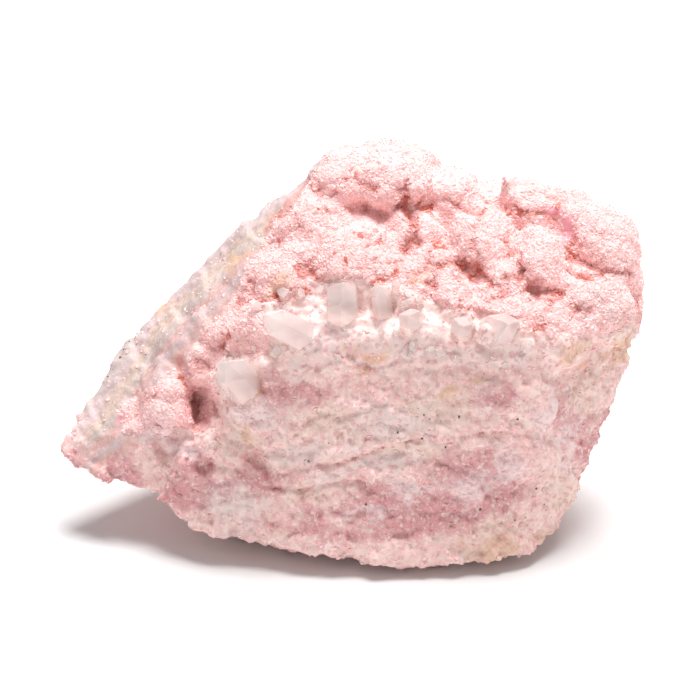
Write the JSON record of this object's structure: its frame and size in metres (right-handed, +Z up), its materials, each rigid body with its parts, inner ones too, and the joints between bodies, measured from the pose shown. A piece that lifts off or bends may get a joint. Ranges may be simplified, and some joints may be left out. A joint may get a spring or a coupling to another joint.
{
  "type": "rhodochrosite specimen",
  "caption": "Hand specimen of pink rhodochrosite: a broken block of vein rock with a crust of sugary mounds and clear quartz crystals along its ledge.",
  "frame": {"origin": "middle of the bounding box, in the plane of the flat underside", "axes": "+X right along the crystal ledge, +Y back away from the front fracture face, +Z up"},
  "size_m": [0.11, 0.0584, 0.0715],
  "materials": {
    "rhodochrosite": "rough pink vein rock with a sparkling crust of small crystals",
    "quartz": "clear to slightly milky natural crystal faces"
  },
  "bodies": {
    "root": {"rhodochrosite_matrix": "rhodochrosite", "quartz_left_point": "quartz", "quartz_upright": "quartz", "quartz_slim": "quartz", "quartz_centre": "quartz", "quartz_ledge": "quartz", "quartz_right": "quartz", "quartz_lower_left": "quartz", "quartz_vug": "quartz", "quartz_crest": "quartz"}
  },
  "joints": []
}
